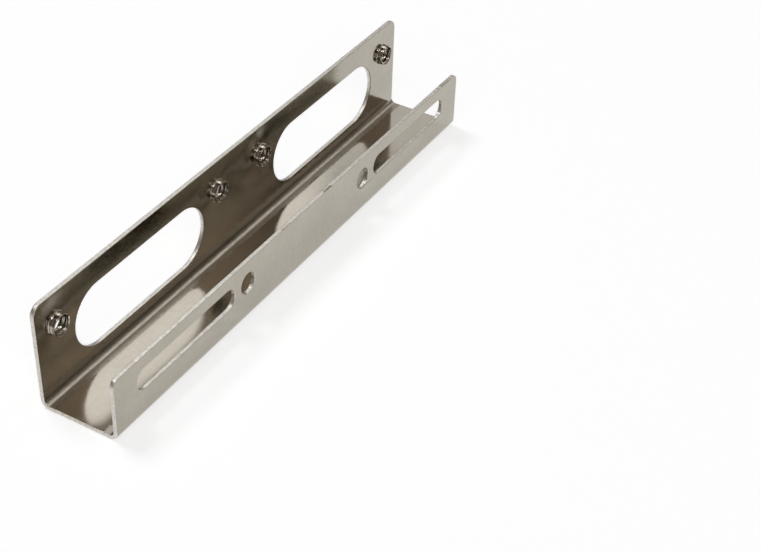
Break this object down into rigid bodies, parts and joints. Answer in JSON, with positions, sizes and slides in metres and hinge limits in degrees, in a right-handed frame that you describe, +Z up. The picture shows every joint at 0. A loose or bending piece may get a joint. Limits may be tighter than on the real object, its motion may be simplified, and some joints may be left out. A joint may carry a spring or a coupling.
{
  "type": "drive bay adapter bracket",
  "caption": "Folded steel channel that carries a small drive in a wider drive bay, with tapped collars, screw slots and windows for a screwdriver.",
  "frame": {"origin": "middle of the web's underside, on the surface that the bracket stands on", "axes": "+Y along the length, +Z up the flanges, +X from the tall flange to the short one"},
  "size_m": [0.0156, 0.1116, 0.0205],
  "materials": {
    "nickel_plated_steel": "bright nickel plating, glossy with slightly blurred reflections"
  },
  "bodies": {
    "root": {"adapter_bracket": "nickel_plated_steel"}
  },
  "joints": []
}
